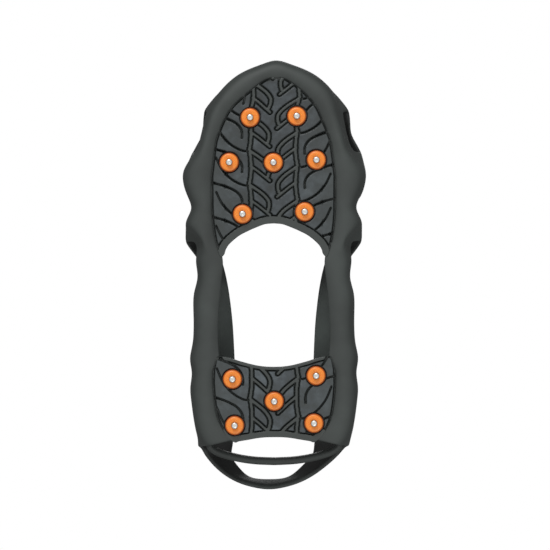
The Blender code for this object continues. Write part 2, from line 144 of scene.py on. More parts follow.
# the underside of the rail: share of the way out, height
RAIL_LOW = (0.33, 4.7)
RAIL_OUT = (0.80, 6.6)
LIP_Z = 14.0
UPPER_LIP_DROP = (10.0, 14.0)  # depth of the upper lip at the toe and at the heel
LIP_DEEPENS = (14, 22)  # stations from one depth to the other
BULGE_RISE = 0.08  # middle of the wall: shares towards the upper lip, then the lower
BULGE_DROP = 0.3
# row numbers up the wall: top of the lower lip, middle of the windows, bottom of the
# upper lip, rim
LIP_ROW = 3.4
WINDOW_ROW = 4.2
STRAP_ROW = 5.0
RIM_ROW = 6
# rows between which the rail's thickness goes over to the wall's
THINNING = (1.5, 3.5)
STRAP_EXTRA = 0.5
# upper lips are thinner along the windows
TAPER_ROWS = (4.5, 5.7)
TAPER_PAST = 0.2
TAPER = 0.6
TOE_STRAP_END = 7.0
HEEL_STRAP_START = 22.0

# openings in the wall, as stations: toe, front, side and arch windows
WINDOWS = [(1.0, 3.0), (4.2, 6.2), (8.5, 9.5), (10.8, 13.5)]

# The soft upper wall lies a little to one side over the forefoot and to the other at the
# heel, and the tip of the toe lies to the side at every height: how far, and from which y
# to which y it comes in.
TOE_LEAN = 2.0
TOE_LEAN_Y = (-20, -60)
HEEL_LEAN = -3.2
HEEL_LEAN_Y = (92, 122)
SOFT_Z = (13, 25)
TOE_SHIFT = 1.8
TOE_SHIFT_Y = (-88, -106)

# heel band: outside (x, y) of one half, from the middle to the root inside the wall
BAND = [(0, 109.8), (12, 109.2), (23, 107.4), (33, 104.4), (38.4, 100.6), (39.6, 96.5)]
BAND_Z = (16.0, 27.0)
BAND_T = 4.4
BAND_FLARE_X = 28  # it gets wider from here to its roots
BAND_FLARE_LENGTH = 12
BAND_FLARE = (1.5, 3.5)  # downwards, upwards

# painted light and shade up the wall, as share of the height and value: a painted highlight
# on the crown of the rail, painted shade low on the rail and in the middle of the wall,
# painted light up at the rim
ROW_PAINTED_LIGHT = [(0, 0.7), (0.12, 0.8), (0.26, 0.92), (0.4, 0.76), (0.55, 0.7), (0.8, 0.95),
             (1, 1)]
# the foot side: stations and rows of its regions, and the painted light and shade of each
CORNER_STATIONS = (21.9, 24.8)
LOWER_ROWS_END = 4.4
FOREFOOT_END = 12
ARCH_STATIONS = (13, 21.5)
INSIDE_PAINTED_LIGHT = {"corner": 0.1, "lower": 0.7, "forefoot": 0.16, "arch": 1.6, "other": 0.6}

# ends of the soles, one half (x, y), from the middle out; the toe starts past the middle,
# so that its curve runs level across it
TOE_START = [(-6, -111)]
ARCH_EDGE = [(0, -29.2), (5, -28.7), (10, -26.9), (15, -24.7), (20, -22), (25, -17.8),
             (27.3, -14.5), (28.3, -11.5), (30.6, -10.6)]
HEEL_FRONT = [(0, 52.8), (5, 52.6), (10, 51.9), (15, 50.7), (20, 49.3), (24, 48), (28, 47),
              (31.5, 46.8)]
HEEL_REAR = [(0, 92.8), (5, 92.9), (10, 93.4), (15, 94.3), (20, 95.1), (23, 95.6)]
# each end with the first and last station that carry it on to the widest place
SOLE_FRONT = {"forefoot": (TOE_START, (0, 7)), "heel": (HEEL_FRONT, (17, 19))}
SOLE_REAR = {"forefoot": (ARCH_EDGE, (11, 8)), "heel": (HEEL_REAR, (22, 19))}

# One repeat of the tread on one half, as (out from the middle, along from the junction)
# and half the width. Channels run between the blocks; slits are cut into them.
CHANNELS = [
    ([(13.8, -0.5), (12.9, 5), (12.7, 10), (12.9, 14.5), (13.8, 20)], 1.1),
    ([(13.6, 0.4), (10.2, 2.6), (5.9, 5.8), (3.0, 9.2), (2.4, 12), (3.1, 15)], 1.15),
    ([(13, 9.2), (9, 12), (5, 15.2), (2.0, 17.6)], 1.0),
]
SLITS = [
    ([(32.6, -15), (31.5, -12.5), (29.5, -8.7), (26, -4.6), (22, -1.6), (17.5, 0.4),
      (14.6, 0.8)], 0.5),
    ([(37, -1.5), (30, 0.4), (25, 2.2), (21, 4.4), (18.6, 7.2), (17.8, 10), (17.9, 12.6)],
     0.55),
]
PITCH = 19.5
STAGGER = 9.2
FOREFOOT_REPEATS = [-129.5 + PITCH * k for k in range(7)]
HEEL_STRETCH = 1.15
HEEL_REPEATS = [25.9 + PITCH * HEEL_STRETCH * k for k in range(4)]
ARCH_BORDER = 4.3
HEEL_BORDERS = (2.0, 3.7)
BORDER_REACH = {"forefoot": 29, "heel": 28}  # how far to the side the end borders go
SIDE_BORDER = 0.5
LINE_HALF = 0.36
LINE_OUT = 0.1  # the line round a block runs just outside it
CUT_SOFTNESS = 0.22
PATTERN_REACH = 4  # farther than this from a path its distance doesn't matter
EDGE_ROUND = 0.9
COLUMN_TURN = 0.84 * math.pi / 2  # columns follow a sine as far as this
COLUMN_EXTRA = 1.15  # more columns than the step asks for, because of that

BED_BEVEL = 0.4
RECESS_GAP = 0.4


def hex_to_linear(text):
    """An sRGB hex colour as linear values."""
    values = [int(text[i:i + 2], 16) / 255 for i in (1, 3, 5)]
    return tuple(v / 12.92 if v <= 0.04045 else ((v + 0.055) / 1.055) ** 2.4 for v in values)


def per_mm(size):
    """Texture scale that gives features of a size in millimetres."""
    return 1.0 / (size * MM)


# ---------------------------------------------------------------- settings


class CleatSizes(bpy.types.PropertyGroup):
    wall: bpy.props.FloatProperty(
        name="Wall", description="Thickness of the rubber wall, mm", default=3.0, min=1.5)
    rail: bpy.props.FloatProperty(
        name="Rail", description="Thickness of the rail under the wall, mm", default=3.4)
    groove_depth: bpy.props.FloatProperty(
        name="Groove depth", description="Depth of the lines round the blocks, mm",
        default=2.2)
    channel_depth: bpy.props.FloatProperty(
        name="Channel depth", description="Depth of the floor between the blocks, mm",
        default=0.7)
    pocket_radius: bpy.props.FloatProperty(
        name="Pocket radius", description="Radius of the pocket round a stud, mm",
        default=6.1)
    tread_step: bpy.props.FloatProperty(
        name="Tread mesh step", description="Spacing of the tread mesh, mm", default=0.36)


class CleatColours(bpy.types.PropertyGroup):
    rubber: bpy.props.FloatVectorProperty(
        name="Rubber", description="Colour of the moulded rubber body", subtype="COLOR",
        size=3, default=hex_to_linear("#373C3A"))
    tread: bpy.props.FloatVectorProperty(
        name="Tread", description="Colour of the tread blocks", subtype="COLOR",
        size=3, default=hex_to_linear("#363C3F"))
    collar: bpy.props.FloatVectorProperty(
        name="Collar", description="Colour of the stud collars", subtype="COLOR",
        size=3, default=hex_to_linear("#E98426"))
    steel: bpy.props.FloatVectorProperty(
        name="Steel", description="Colour of the pins and washers", subtype="COLOR",
        size=3, default=hex_to_linear("#D9D9D6"))


class CleatSettings(bpy.types.PropertyGroup):
    sizes: bpy.props.PointerProperty(type=CleatSizes)
    colours: bpy.props.PointerProperty(type=CleatColours)


# ---------------------------------------------------------------- materials


def add_node(tree, kind, inputs=None, **settings):
    """Add a node, set its properties, and give its inputs values or links."""
    node = tree.nodes.new(kind)
    for key, value in settings.items():
        setattr(node, key, value)
    for key, value in (inputs or {}).items():
        socket = node.inputs[key]
        if isinstance(value, bpy.types.NodeSocket):
            tree.links.new(value, socket)
        else:
            socket.default_value = value
    return node


def new_material(name):
    """Empty node material; returns it with its tree and object coordinates."""
    material = bpy.data.materials.new(name)
    material.use_nodes = True
    tree = material.node_tree
    tree.nodes.clear()
    coordinates = add_node(tree, "ShaderNodeTexCoord").outputs["Object"]
    return material, tree, coordinates


def finish_material(tree, inputs):
    """Give the tree its shader and output."""
    shader = add_node(tree, "ShaderNodeBsdfPrincipled", inputs)
    add_node(tree, "ShaderNodeOutputMaterial", {"Surface": shader.outputs["BSDF"]})


def shade(colour, share):
    """A colour made darker or lighter."""
    return (*[min(1.0, c * share) for c in colour], 1)


def grey(value):
    return (value, value, value, 1)


def noise(tree, place, size, detail, roughness):
    """Soft noise with features of a size in millimetres."""
    return add_node(tree, "ShaderNodeTexNoise", {
        "Vector": place, "Scale": per_mm(size), "Detail": detail,
        "Roughness": roughness}).outputs["Fac"]


def mapped(tree, value, source=(0.0, 1.0), target=(0.0, 1.0)):
    """A value carried from one range to another, and held inside it."""
    return add_node(tree, "ShaderNodeMapRange", {
        "Value": value, "From Min": source[0], "From Max": source[1],
        "To Min": target[0], "To Max": target[1]}).outputs["Result"]


def colour_ramp(tree, factor, stops, interpolation="LINEAR"):
    """Colours along a factor, from (position, colour) stops in rising order."""
    node = add_node(tree, "ShaderNodeValToRGB", {"Fac": factor})
    ramp = node.color_ramp
    ramp.interpolation = interpolation
    for element, (position, colour) in zip(ramp.elements, (stops[0], stops[-1])):
        element.position = position
        element.color = colour
    for position, colour in stops[1:-1]:
        ramp.elements.new(position).color = colour
    return node.outputs["Color"]


def mixed(tree, factor, first, second, blend_type="MIX"):
    """A colour between two."""
    return add_node(tree, "ShaderNodeMix", {"Factor": factor, "A": first, "B": second},
                    data_type="RGBA", blend_type=blend_type).outputs["Result"]


def times(tree, first, second):
    """A colour multiplied by another."""
    return mixed(tree, 1.0, first, second, "MULTIPLY")


def relief(tree, height, strength, depth):
    """Normal bumped by a height, at most as deep as so many millimetres."""
    return add_node(tree, "ShaderNodeBump", {
        "Height": height, "Strength": strength, "Distance": depth * MM}).outputs["Normal"]


def separated(tree, vector):
    """The X, Y and Z of a vector."""
    node = add_node(tree, "ShaderNodeSeparateXYZ", {"Vector": vector})
    return [node.outputs[axis] for axis in "XYZ"]


def map_parts(tree, name):
    """The X and Y of a texture coordinate map."""
    uv = add_node(tree, "ShaderNodeUVMap", uv_map=name).outputs["UV"]
    return separated(tree, uv)[:2]


@functools.lru_cache(maxsize=None)
def moulded_rubber():
    """Thermoplastic rubber from a spark-eroded mould: matt, with a fine even grain."""
    colour = bpy.context.scene.cleat.colours.rubber
    material, tree, place = new_material("moulded thermoplastic rubber")
    # flow marks a few centimetres across, hardly visible
    flow = noise(tree, place, 26, 3.0, 0.55)
    # grain of the eroded mould is 0.1 mm; drawn at 0.5 mm so that it shows
    grain = noise(tree, place, 0.5, 2.0, 0.6)
    tint = colour_ramp(tree, flow, [(0.3, shade(colour, 0.78)), (0.72, shade(colour, 1.28))])
    # painted highlight: the crown of the rail and the top rim are painted paler, the middle
    # of the wall darker
    row = map_parts(tree, "wall")[1]
    painted_row_light = colour_ramp(tree, mapped(tree, row, (0.0, RIM_ROW)),
                         [(at, grey(value)) for at, value in ROW_PAINTED_LIGHT], "B_SPLINE")
    row_lit = times(tree, tint, painted_row_light)
    # painted shade from occlusion within 14 mm: corners and slits are painted dark, what lies
    # open keeps its colour
    reach = add_node(tree, "ShaderNodeAmbientOcclusion", {"Distance": 14 * MM}, samples=8)
    painted_corner_shade = mapped(tree, reach.outputs["AO"], (0.2, 0.7), (0.12, 1.0))
    corner_shaded = times(tree, row_lit, painted_corner_shade)
    # painted light and shade on the foot side: painted shade in the strap corners, low down
    # and over the forefoot, painted light in the arch
    foot_side, foot_side_light = map_parts(tree, "side")
    foot_side_lit = times(tree, corner_shaded, mapped(tree, foot_side, target=(1.0, foot_side_light)))
    finish_material(tree, {
        "Base Color": foot_side_lit, "Roughness": mapped(tree, flow, target=(0.58, 0.7)),
        "Normal": relief(tree, grain, 0.25, 0.06), "IOR": 1.5})
    return material


@functools.lru_cache(maxsize=None)
def tread_rubber():
    """The same compound from a smoother tread mould: satin block tops, with painted shade at
    the bottom of the grooves.
    """
    colour = bpy.context.scene.cleat.colours.tread
    rubber = bpy.context.scene.cleat.colours.rubber
    material, tree, place = new_material("tread rubber, satin mould")
    x, y, z = separated(tree, place)
    # block tops, then the floor between them, then the bottom of the lines
    depth = mapped(tree, z, (TREAD_FACE * MM, (TREAD_FACE + 2) * MM))
    level = colour_ramp(tree, depth, [(0.1, grey(0)), (0.3, grey(1))])
    # painted shade: the bottom of the lines is painted darker
    painted_groove_shade = mapped(tree, depth, (0.45, 0.85))
    scuff = noise(tree, place, 9, 5.0, 0.65)
    grain = noise(tree, place, 0.8, 3.0, 0.6)
    tops = colour_ramp(tree, scuff, [
        (0.3, shade(rubber, 0.62)), (0.48, shade(colour, 0.9)), (0.7, shade(colour, 1.75))])
    # the heel wears first and is paler
    worn = times(tree, tops, mapped(tree, y, (-80 * MM, 80 * MM), (0.88, 1.25)))
    # blocks at the sides are nearer the colour of the body
    aside = add_node(tree, "ShaderNodeMath", {0: x}, operation="ABSOLUTE").outputs["Value"]
    outer = mapped(tree, aside, (12 * MM, 32 * MM), (0.0, 0.55))
    blocks = mixed(tree, outer, worn, shade(rubber, 0.95))
    floor = mixed(tree, level, blocks, shade(rubber, 0.92))
    finish_material(tree, {
        "Base Color": mixed(tree, painted_groove_shade, floor, shade(rubber, 0.55)),
        "Roughness": mapped(tree, scuff, target=(0.42, 0.62)),
        "Normal": relief(tree, grain, 0.3, 0.08), "IOR": 1.5})
    return material


@functools.lru_cache(maxsize=None)
def collar_nylon():
    """Injection-moulded orange nylon: clean, slightly waxy gloss."""
    colour = bpy.context.scene.cleat.colours.collar
    material, tree, place = new_material("orange nylon, injection moulded")
    haze = noise(tree, place, 2.2, 3.0, 0.5)
    tint = colour_ramp(tree, haze, [(0, shade(colour, 0.86)), (1, shade(colour, 1.08))])
    # painted shade: darker and redder down the side of the collar
    side = mapped(tree, separated(tree, place)[2],
                  ((COLLAR_FACE + 0.08) * MM, (COLLAR_FACE + 0.75) * MM))
    red, green, blue = colour
    finish_material(tree, {
        "Base Color": mixed(tree, side, tint, (red * 0.4, green * 0.24, blue * 0.24, 1)),
        "Roughness": mapped(tree, haze, target=(0.32, 0.46)),
        "Normal": relief(tree, haze, 0.12, 0.1), "IOR": 1.53,
        "Subsurface Weight": 0.15, "Subsurface Scale": 0.8 * MM})
    return material


@functools.lru_cache(maxsize=None)
def turned_steel():
    """Hardened steel, turned and zinc plated: a soft bright shine, a little uneven."""
    colour = bpy.context.scene.cleat.colours.steel
    material, tree, place = new_material("hardened steel, turned and zinc plated")
    wear = noise(tree, place, 1.4, 4.0, 0.6)
    finish_material(tree, {
        "Base Color": colour_ramp(tree, wear, [
            (0, shade(colour, 0.85)), (1, shade(colour, 1.25))]),
        "Roughness": mapped(tree, wear, target=(0.28, 0.5)),
        "Normal": relief(tree, wear, 0.2, 0.05), "Metallic": 1.0})
    return material


# ---------------------------------------------------------------- shared shapes


def in_frame(x, y, z):
    """A point given about the stud row, in metres in the frame."""
    return (x * MM, (y + SHIFT) * MM, z * MM)


def share_of(value, start, end):
    """Share of the way from start to end, from 0 to 1."""
    return max(0.0, min(1.0, (value - start) / (end - start)))


def ease(value, start, end):
    """The same with a smooth start and end, for a number or an array."""
    t = np.clip((value - start) / (end - start), 0, 1)
    return t * t * (3 - 2 * t)


def catmull_rom(before, start, end, after, t):
    """Point on the smooth curve from start to end."""
    a = 2 * start
    b = (end - before) * t
    c = (2 * before - 5 * start + 4 * end - after) * t * t
    d = (3 * start - before - 3 * end + after) * t ** 3
    return 0.5 * (a + b + c + d)


def smooth_line(points, steps):
    """Points along a smooth curve through the given ones."""
    pts = [Vector(p) for p in points]
    pts = [2 * pts[0] - pts[1], *pts, 2 * pts[-1] - pts[-2]]
    line = []
    for i in range(1, len(pts) - 2):
        for k in range(steps):
            line.append(catmull_rom(pts[i - 1], pts[i], pts[i + 1], pts[i + 2], k / steps))
    line.append(pts[-2])
    return line


def add_piece(name, mesh, material):
    """An object in the scene with a mesh and its one material."""
    mesh.materials.clear()
    mesh.materials.append(material)
    obj = bpy.data.objects.new(name, mesh)
    bpy.context.scene.collection.objects.link(obj)
    return obj


def mesh_from_bmesh(name, bm, angle=40):
    """Smooth-shaded mesh, sharp where faces meet at more than an angle in degrees."""
    mesh = bpy.data.meshes.new(name)
    bm.to_mesh(mesh)
    bm.free()
    mesh.shade_smooth()
    mesh.set_sharp_from_angle(angle=math.radians(angle))
    return mesh


# ---------------------------------------------------------------- rubber wall


@functools.lru_cache(maxsize=None)
def station_rows(index):
    """The points, tucked inner edge to top rim, of one station; mirrored past the ends."""
    if index < 0:
        side, index = -1, -index
    else:
        side = 1
    if index > LAST:
        side, index = -side, 2 * LAST - index
    edge, wide, rim, lean, inset = STATIONS[index]
    edge, wide, top = Vector(edge), Vector(wide), Vector(rim[:2])
    inward = (edge - wide).normalized()
    # the rail narrows at its end, inside the strap
    low = wide.lerp(edge, RAIL_END.get(index, 0.0))
    shallow, deep = UPPER_LIP_DROP
    upper_z = rim[2] - shallow - (deep - shallow) * share_of(index, *LIP_DEEPENS)
    upper = wide.lerp(top, lean)
    lip = low + inward * inset
    bulge = wide.lerp(upper, BULGE_RISE).lerp(lip, BULGE_DROP)
    tuck, rise = FREE_TUCK if index in FREE_EDGE else SOLE_TUCK
    edge_z = FLUSH_Z if index in FLUSH else RAIL_EDGE_Z
    rows = [
        (edge + inward * tuck, edge_z + rise),
        (edge, edge_z),
        (edge.lerp(low, RAIL_LOW[0]), RAIL_LOW[1]),
        (edge.lerp(lip, RAIL_OUT[0]), RAIL_OUT[1]),
        (lip, LIP_Z),
        (bulge, (LIP_Z + upper_z) / 2),
        (upper, upper_z),
        (top, rim[2]),
    ]
    return tuple(
        Vector((side * p.x + sideways(p.y, z), p.y + SHIFT, z)) for p, z in rows)


def toe_shift(y):
    """How far the tip of the toe lies to the side, at every height."""
    return TOE_SHIFT * ease(y, *TOE_SHIFT_Y)


def sideways(y, z):
    """How far the soft wall lies to the side at a place."""
    height = ease(z, *SOFT_Z)
    upper = TOE_LEAN * ease(y, *TOE_LEAN_Y) + HEEL_LEAN * ease(y, *HEEL_LEAN_Y)
    return height * upper + (1 - height) * toe_shift(y)


def across(rows, v):
    """Point at row v: -1 tucked edge, 0 tread edge, 6 rim."""
    v += 1
    i = min(max(int(v), 0), len(rows) - 2)
    before = rows[i - 1] if i > 0 else 2 * rows[0] - rows[1]
    after = rows[i + 2] if i + 2 < len(rows) else 2 * rows[-1] - rows[-2]
    return catmull_rom(before, rows[i], rows[i + 1], after, v - i)


def wall_point(u, v):
    """Outside of the wall at station u, row v; u is below 0 on the -X side."""
    i = math.floor(u)
    near = [across(station_rows(k), v) for k in (i - 1, i, i + 1, i + 2)]
    return catmull_rom(*near, u - i)


def wall_normal(u, v):
    """Outward direction of the wall."""
    step = 0.02
    along = wall_point(u + step, v) - wall_point(u - step, v)
    up = wall_point(u, v + step) - wall_point(u, v - step)
    return along.cross(up).normalized()


def thickness_at(u, v, sizes):
    """Thick rail, thinner wall, a little more at the heel straps."""
    thickness = sizes.rail + (sizes.wall - sizes.rail) * share_of(v, *THINNING)
    if abs(u) > QUARTER_END - 1:
        thickness += STRAP_EXTRA
    by_window = any(low - TAPER_PAST < abs(u) < high + TAPER_PAST for low, high in WINDOWS)
    if by_window and TAPER_ROWS[0] < v < TAPER_ROWS[1]:
        thickness *= TAPER
    return thickness


def is_open(u, v):
    """True where the wall has a window or ends."""
    u = abs(u)
    if LIP_ROW < v < STRAP_ROW and any(low < u < high for low, high in WINDOWS):
        return True
    return u > QUARTER_END and v < STRAP_ROW


def inside_painted_light(u, v):
    """Painted light and shade on the foot side: painted dark shade but for the arch, which is
    painted lighter.
    """
    u = abs(u)
    if CORNER_STATIONS[0] < u < CORNER_STATIONS[1]:
        region = "corner"
    elif v < LOWER_ROWS_END:
        region = "lower"
    elif u < FOREFOOT_END:
        region = "forefoot"
    elif ARCH_STATIONS[0] < u < ARCH_STATIONS[1]:
        region = "arch"
    else:
        region = "other"
    return INSIDE_PAINTED_LIGHT[region]


def wall_shell(name, sizes):
    """Closed cage of the whole wall, with its parameters kept as texture coordinates."""
    # columns every half station, then round the end of the quarter
    half = [k / 2 for k in range(0, 46)] + [QUARTER_END]
    half += [QUARTER_END + 0.5 + 0.6 * k for k in range(5)] + [LAST]
    us = [-u for u in reversed(half[1:])] + half
    vs = [-1, -0.4, *[k / 2 for k in range(7)], LIP_ROW, WINDOW_ROW, STRAP_ROW, 5.5,
          RIM_ROW]
    quads = []
    for i in range(len(us) - 1):
        for j in range(len(vs) - 1):
            if not is_open((us[i] + us[i + 1]) / 2, (vs[j] + vs[j + 1]) / 2):
                quads.append(((i, j), (i + 1, j), (i + 1, j + 1), (i, j + 1)))
    bm = bmesh.new()
    layer = bm.loops.layers.uv.new("wall")
    # the second map carries the foot side and the painted light and shade on it
    side_layer = bm.loops.layers.uv.new("side")
    outer, inner = {}, {}
    for spot in sorted({spot for quad in quads for spot in quad}):
        u, v = us[spot[0]], vs[spot[1]]
        point = wall_point(u, v)
        outer[spot] = bm.verts.new(point * MM)
        inside = point - wall_normal(u, v) * thickness_at(u, v, sizes)
        inner[spot] = bm.verts.new(inside * MM)

    def face(verts, spots, inside):
        made = bm.faces.new(verts)
        for loop, (u, v) in zip(made.loops, spots):
            loop[layer].uv = (u, v)
            loop[side_layer].uv = (inside, inside_painted_light(u, v))

    borders = {}
    for quad in quads:
        spots = [(us[i], vs[j]) for i, j in quad]
        face([outer[spot] for spot in quad], spots, 0)
        face([inner[spot] for spot in reversed(quad)], list(reversed(spots)), 1)
        centre = (sum(s[0] for s in spots) / 4, sum(s[1] for s in spots) / 4)
        for edge in zip(quad, (*quad[1:], quad[0])):
            borders[edge] = centre
    for (first, second), centre in sorted(borders.items()):
        # the two ends meet behind the heel
        seam = first[0] == second[0] and first[0] in (0, len(us) - 1)
        if (second, first) not in borders and not seam:
            face((outer[second], outer[first], inner[first], inner[second]), [centre] * 4,
                 0.5)
    bmesh.ops.remove_doubles(bm, verts=bm.verts, dist=0.01 * MM)
    mesh = bpy.data.meshes.new(name)
    bm.to_mesh(mesh)
    bm.free()
    return mesh


def subdivided(mesh, levels):
    """The mesh with subdivision applied."""
    obj = bpy.data.objects.new(mesh.name, mesh)
    bpy.context.scene.collection.objects.link(obj)
    smooth = obj.modifiers.new("rounding", "SUBSURF")
    smooth.levels = smooth.render_levels = levels
    bpy.context.view_layer.update()
    ready = obj.evaluated_get(bpy.context.evaluated_depsgraph_get())
    result = bpy.data.meshes.new_from_object(ready)
    bpy.data.objects.remove(obj, do_unlink=True)
    bpy.data.meshes.remove(mesh)
    return result


def wall_part(source, name, wanted):
    """Closed copy of the faces whose middle has wanted parameters."""
    bm = bmesh.new()
    bm.from_mesh(source)
    layer = bm.loops.layers.uv.active
    drop = []
    for f in bm.faces:
        u = sum(loop[layer].uv.x for loop in f.loops) / len(f.loops)
        v = sum(loop[layer].uv.y for loop in f.loops) / len(f.loops)
        if not wanted(u, v):
            drop.append(f)
    bmesh.ops.delete(bm, geom=drop, context="FACES")
    rim = [e for e in bm.edges if e.is_boundary]
    bmesh.ops.holes_fill(bm, edges=rim, sides=0)
    return mesh_from_bmesh(name, bm, 60)


def in_toe_strap(u, v):
    """True on the strap over the toe; the next two are the heel strap and the rest."""
    return abs(u) < TOE_STRAP_END and v > LIP_ROW


def in_heel_strap(u, v):
    return abs(u) > HEEL_STRAP_START and v > WINDOW_ROW


def in_body(u, v):
    return not in_toe_strap(u, v) and not in_heel_strap(u, v)


class CLEAT_OT_rubber_wall(bpy.types.Operator):
    """Rails, wall, toe strap and heel strap as one continuous moulding"""

    bl_idname = "cleat.rubber_wall"
    bl_label = "Rubber wall"

    def execute(self, context):
        shell = subdivided(wall_shell("wall_shell", context.scene.cleat.sizes), 2)
        parts = (("rubber_wall", in_body), ("toe_strap_web", in_toe_strap),
                 ("heel_strap_loop", in_heel_strap))
        body, strap, heel = [
            add_piece(name, wall_part(shell, name, wanted), moulded_rubber())
            for name, wanted in parts]
        bpy.data.meshes.remove(shell)
        sides = ("left", "right")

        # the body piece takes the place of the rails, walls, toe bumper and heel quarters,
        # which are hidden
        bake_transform(body)
        nodes = ["toe_bumper"]
        for side in sides:
            nodes += [f"forefoot_rail_{side}", f"forefoot_wall_{side}", f"arch_rail_{side}",
                      f"arch_wall_{side}", f"heel_quarter_{side}"]
        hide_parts(*nodes)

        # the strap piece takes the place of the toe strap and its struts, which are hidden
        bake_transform(strap)
        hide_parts("toe_strap", "toe_strut", *[f"front_strut_{s}" for s in sides])

        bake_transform(heel)
        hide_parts("heel_strap")
        return {"FINISHED"}


# ---------------------------------------------------------------- heel band


class CLEAT_OT_heel_band(bpy.types.Operator):
    """Lower band behind the heel, moulded into the wall at both ends"""

    bl_idname = "cleat.heel_band"
    bl_label = "Heel band"

    def execute(self, context):
        half = smooth_line(BAND, 5)
        outside = [*[Vector((-p.x, p.y)) for p in reversed(half[1:])], *half]
        bm = bmesh.new()
        rings = []
        for i, point in enumerate(outside):
            ahead = outside[min(i + 1, len(outside) - 1)]
            along = (ahead - outside[max(i - 1, 0)]).normalized()
            back = Vector((along.y, -along.x)) * BAND_T
            flare = max(0.0, (abs(point.x) - BAND_FLARE_X) / BAND_FLARE_LENGTH) ** 2
            low, high = BAND_Z[0] - BAND_FLARE[0] * flare, BAND_Z[1] + BAND_FLARE[1] * flare
            corners = [(point, low), (point, (low + high) / 2), (point, high)]
            corners += [(point + back, high), (point + back, (low + high) / 2),
                        (point + back, low)]
            rings.append([bm.verts.new(in_frame(p.x, p.y, z)) for p, z in corners])
        for first, second in zip(rings, rings[1:]):
            for k in range(len(first)):
                bm.faces.new((first[k], first[k - 1], second[k - 1], second[k]))
        bm.faces.new(rings[0])
        bm.faces.new(list(reversed(rings[-1])))
        bmesh.ops.recalc_face_normals(bm, faces=bm.faces)
        mesh = subdivided(mesh_from_bmesh("heel_band_cage", bm), 2)
        mesh.shade_smooth()
        band = add_piece("heel_band_moulding", mesh, moulded_rubber())
        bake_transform(band)
        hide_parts("heel_band")
        return {"FINISHED"}


# ---------------------------------------------------------------- soles


def half_curve(points, steps=8):
    """Smooth half outline as arrays of x and y, rising in x."""
    line = smooth_line(points, steps)
    xs = np.array([p.x for p in line])
    ys = np.array([p.y for p in line])
    order = np.argsort(xs)
    return xs[order], ys[order]


def tread_edge(first, last):
    """Tread edge from one station to another, as (x, y) points."""
    step = 1 if last > first else -1
    return [STATIONS[i][0] for i in range(first, last + step, step)]


@functools.lru_cache(maxsize=None)
def sole_plan(body):
    """Front and rear half curve and half width of the forefoot or heel sole."""
    front, rear = [
        half_curve([*end, *tread_edge(*stations)])
        for end, stations in (SOLE_FRONT[body], SOLE_REAR[body])]
    widest = SOLE_FRONT[body][1][1]
    return front, rear, STATIONS[widest][0][0]


def columns(half_width, count):
    """Places across the sole, closer together at the sides."""
    turn = np.linspace(-1, 1, count) * COLUMN_TURN
    return half_width * np.sin(turn) / math.sin(COLUMN_TURN)


def segment_distance(points, line):
    """Shortest distance from each point to a line of (x, y) points."""
    best = np.full(len(points), 1e9)
    for a, b in zip(line, line[1:]):
        a, b = np.array(a), np.array(b)
        run = b - a
        t = np.clip(((points - a) @ run) / (run @ run), 0, 1)
        gap = points - (a + t[:, None] * run)
        best = np.minimum(best, np.hypot(gap[:, 0], gap[:, 1]))
    return best


def pattern_distance(points, paths, repeats, stretch):
    """Distance from each point to the edge of the nearest path; negative inside one."""
    result = np.full(len(points), 1e9)
    for side, shift in ((-1, 0.0), (1, STAGGER * stretch)):
        for junction in repeats:
            for path, half_width in paths:
                line = [(side * p.x, junction + shift + p.y * stretch)
                        for p in smooth_line(path, 4)]
                low = min(y for x, y in line) - PATTERN_REACH
                high = max(y for x, y in line) + PATTERN_REACH
                near = (points[:, 1] > low) & (points[:, 1] < high)
                if near.any():
                    gap = segment_distance(points[near], line) - half_width
                    result[near] = np.minimum(result[near], gap)
    return result


def cut(distance, half_width):
    """One inside a cut, nought outside, with a soft edge."""
    return ease(distance, half_width + CUT_SOFTNESS, half_width - CUT_SOFTNESS)


